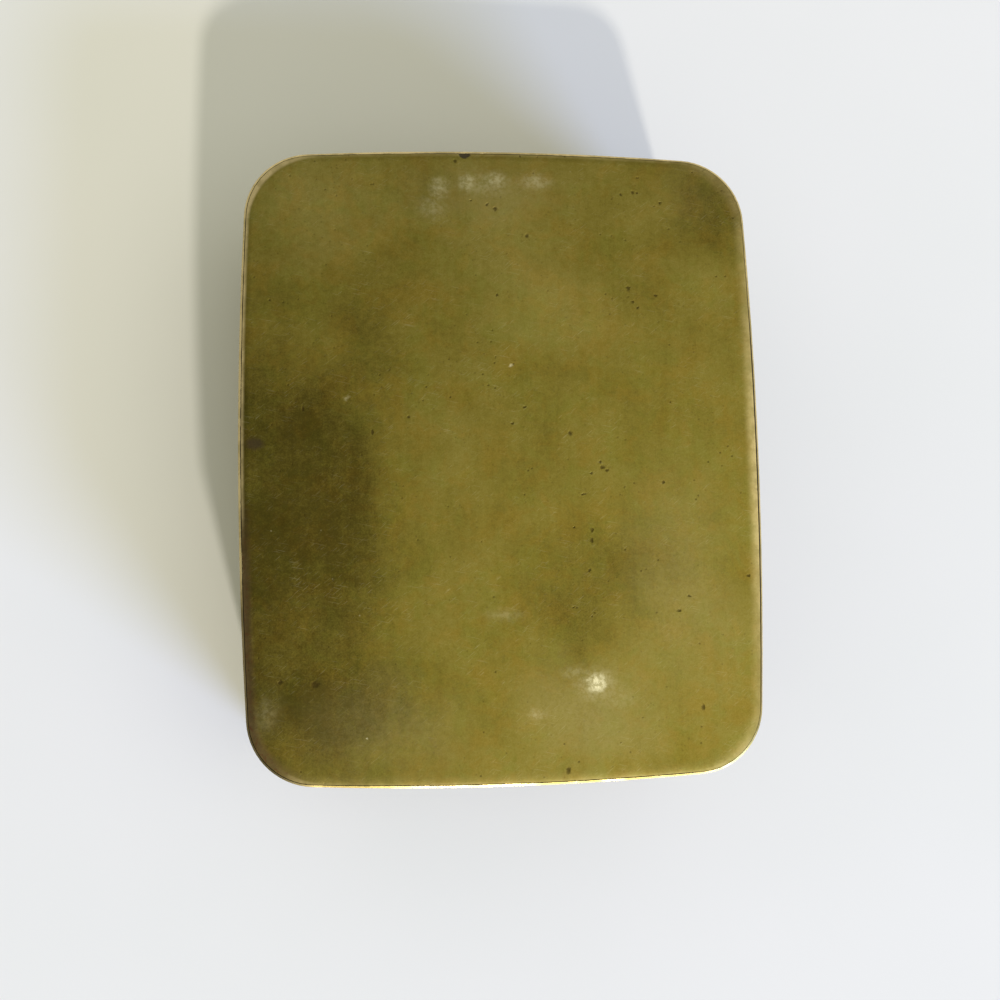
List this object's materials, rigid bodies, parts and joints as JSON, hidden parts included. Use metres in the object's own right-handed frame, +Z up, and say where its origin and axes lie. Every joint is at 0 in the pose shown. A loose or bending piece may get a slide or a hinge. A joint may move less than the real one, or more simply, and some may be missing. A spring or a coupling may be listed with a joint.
{
  "type": "trinket box",
  "caption": "Low rectangular sheet-brass box with bowed sides, round corners and a flat lid on a riveted rear hinge that closes over an inner collar.",
  "frame": {"origin": "middle of the underside, where the box stands", "axes": "+Z up through the lid, -Y to the front where the lid opens, +Y to the hinge, +X to the right seen from the front"},
  "size_m": [0.0664, 0.0821, 0.0305],
  "materials": {
    "plate_brass": "satin, olive-brown patina",
    "band_brass": "satin, patina with rubbed edges",
    "collar_brass": "satin, rubbed bright",
    "hinge_brass": "satin, dark in the joints",
    "rivet_brass": "satin, rubbed tops"
  },
  "bodies": {
    "box": {"base_plate": "plate_brass", "body_wall": "band_brass", "inner_collar": "collar_brass", "body_hinge_leaf": "hinge_brass", "body_leaf_rivets": "rivet_brass", "hinge_pin": "rivet_brass"},
    "lid": {"lid_plate": "plate_brass", "lid_rim": "band_brass", "lid_hinge_leaf": "hinge_brass", "lid_leaf_rivets": "rivet_brass"}
  },
  "joints": [
    {"name": "lid_hinge", "type": "hinge", "parent": "box", "child": "lid", "pos_m": [0, 0.04067, 0.0215], "axis": [-1, 0, 0], "range_deg": [0, 110]}
  ]
}
